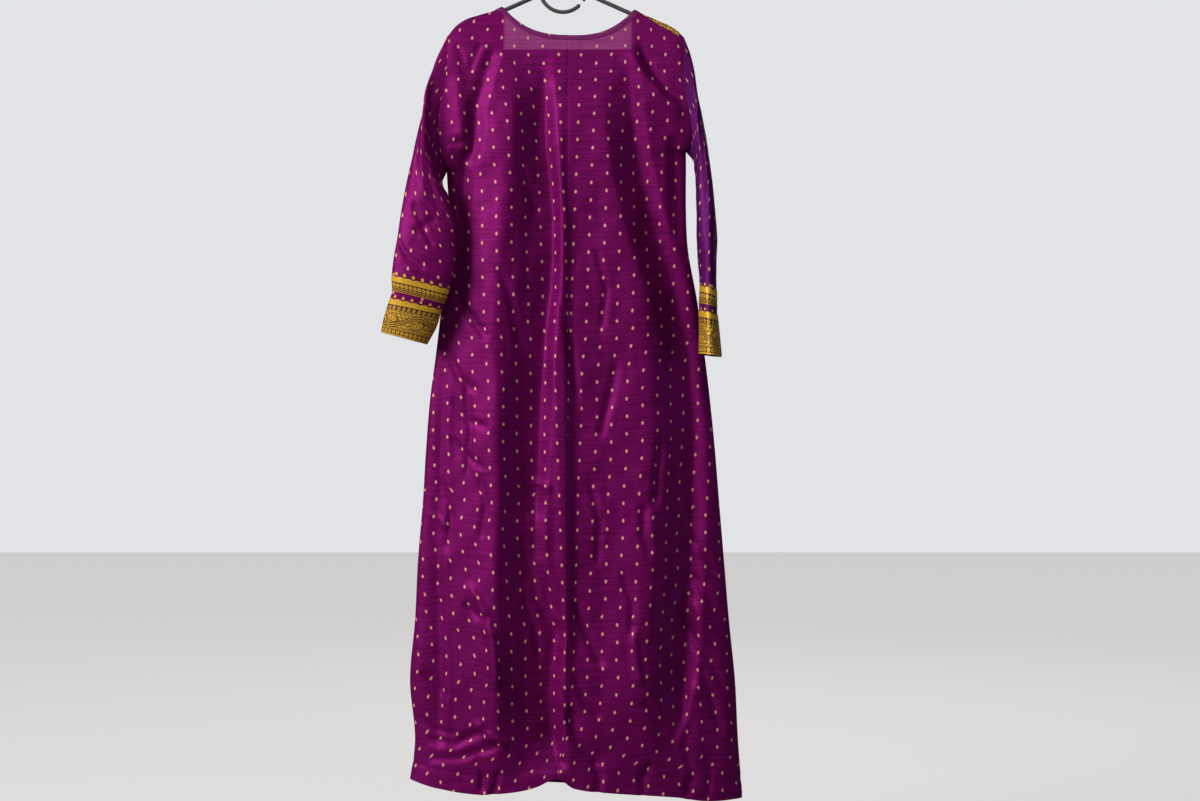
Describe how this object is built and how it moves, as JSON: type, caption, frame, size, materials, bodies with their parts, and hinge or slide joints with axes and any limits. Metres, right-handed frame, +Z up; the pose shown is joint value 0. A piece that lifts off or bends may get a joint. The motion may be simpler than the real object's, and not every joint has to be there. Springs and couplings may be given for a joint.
{
  "type": "abaya on a clothes hanger",
  "caption": "Long shot-silk abaya with woven gold cuffs and front borders, seen from the back, hung on a plastic tube hanger.",
  "frame": {"origin": "inside top of the hanger's hook, where it rests on a rail", "axes": "+Z up; the robe's back faces -Y; +X to the right as its back is seen"},
  "size_m": [0.6474, 0.1928, 1.555],
  "materials": {
    "shot_silk": "satin sheen, magenta over violet",
    "shot_silk_shade": "satin sheen, violet",
    "gold_border": "woven metallic thread",
    "neck_binding_silk": "satin",
    "hanger_plastic": "satin"
  },
  "bodies": {
    "root": {"back_left": "shot_silk", "back_right": "shot_silk", "front_left": "shot_silk", "front_right": "shot_silk", "sleeve_left": "shot_silk", "sleeve_right": "shot_silk_shade", "cuff_narrow_left": "gold_border", "cuff_narrow_right": "gold_border", "cuff_wide_left": "gold_border", "cuff_wide_right": "gold_border", "front_border_left": "gold_border", "front_border_right": "gold_border", "neck_binding": "neck_binding_silk", "back_neck_facing": "shot_silk", "hanger_hook": "hanger_plastic", "hanger_arm_left": "hanger_plastic", "hanger_arm_right": "hanger_plastic", "hanger_bar": "hanger_plastic", "hanger_loop": "hanger_plastic", "hanger_lug": "hanger_plastic"}
  },
  "joints": []
}
